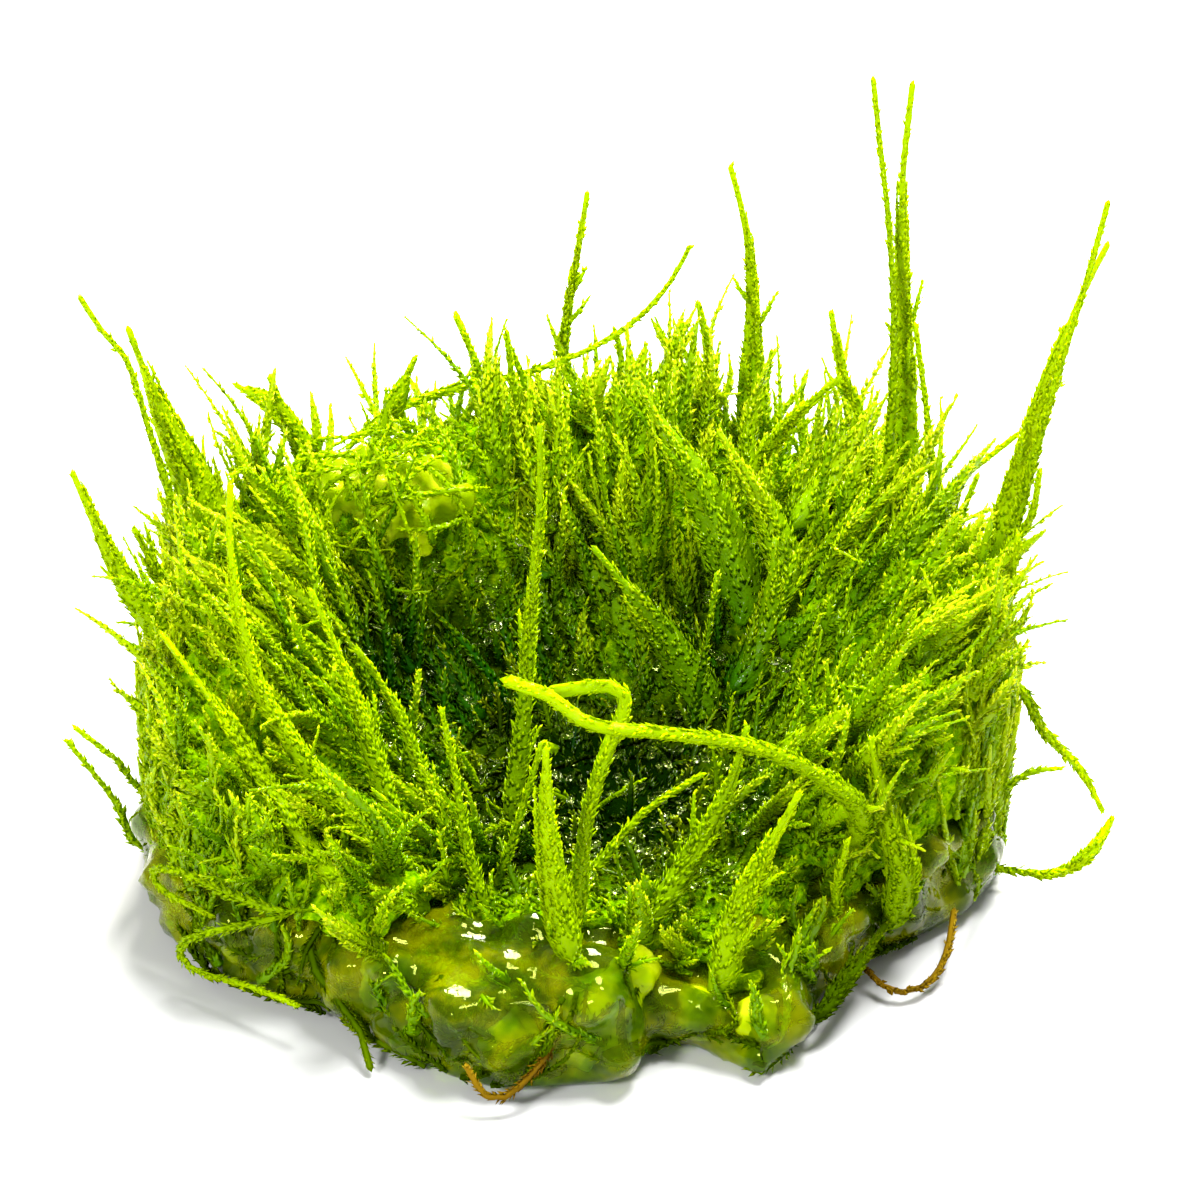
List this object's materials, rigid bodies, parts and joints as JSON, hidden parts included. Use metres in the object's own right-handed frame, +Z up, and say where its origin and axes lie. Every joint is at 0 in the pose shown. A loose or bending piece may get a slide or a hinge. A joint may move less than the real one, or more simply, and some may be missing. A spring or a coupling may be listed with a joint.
{
  "type": "moss clump",
  "caption": "Round clump of aquarium moss grown on clear jelly: dense leafy shoots standing in a horseshoe round a wet hollow.",
  "frame": {"origin": "middle of the flat underside of the jelly", "axes": "+Z up off the surface it rests on, -Y towards the low side of the moss, +X to the right seen from that side"},
  "size_m": [0.0737, 0.062, 0.0552],
  "materials": {
    "jelly": "wet, clear yellow-green gel",
    "moss": "wet, dark green leaves",
    "young_moss": "wet, bright lime leaves",
    "old_runner": "satin, brown stems"
  },
  "bodies": {
    "root": {"arch_back": "young_moss", "arch_front": "young_moss", "arch_left_back": "young_moss", "arch_left_front": "young_moss", "jelly_slab": "jelly", "loop_left_lower": "young_moss", "loop_left_upper": "young_moss", "loop_right_lower": "young_moss", "loop_right_upper": "young_moss", "moss_mat": "moss", "runner_front": "old_runner", "runner_front_left": "old_runner", "runner_right": "old_runner", "shoot_back_left_far": "young_moss", "shoot_back_left_inner": "young_moss", "shoot_back_left_mid": "young_moss", "shoot_back_left_outer": "young_moss", "shoot_back_left_tall": "young_moss", "shoot_back_middle_side": "young_moss", "shoot_back_middle_tall": "young_moss", "shoot_back_middle_thin": "young_moss", "shoot_back_right_fuzzy": "young_moss", "shoot_back_right_inner": "young_moss", "shoot_back_right_side": "young_moss", "shoot_back_right_tall": "young_moss", "shoot_back_right_twin": "young_moss", "shoot_centre_tall": "young_moss", "shoot_front_bright": "young_moss", "shoot_front_hook": "young_moss", "shoot_front_left_branch": "young_moss", "shoot_front_left_feathery": "young_moss", "shoot_front_left_tall": "young_moss", "shoot_front_left_thin": "young_moss", "shoot_front_middle": "young_moss", "shoot_front_right_inner": "young_moss", "shoot_front_right_low": "young_moss", "shoot_front_right_outer": "young_moss", "shoot_hollow_left": "moss", "shoot_hollow_right": "moss", "shoot_left_band": "young_moss", "shoot_left_leafy": "young_moss", "shoot_left_low": "young_moss", "shoot_left_small": "young_moss", "shoot_left_tall": "young_moss", "shoot_left_tall_twin": "young_moss", "shoot_right_front_broad": "young_moss", "shoot_right_side_low": "young_moss", "shoot_right_side_middle": "young_moss", "shoot_right_side_upper": "young_moss", "shoot_right_tall": "young_moss", "shoot_right_tall_twin": "young_moss", "stem_band_front_right": "young_moss", "stem_left_side": "young_moss", "stem_left_side_twin": "young_moss", "tuft_hollow_back": "moss", "tuft_hollow_back_right": "moss", "tuft_hollow_dark": "moss", "tuft_hollow_lit": "moss", "tuft_hollow_right": "moss"}
  },
  "joints": []
}
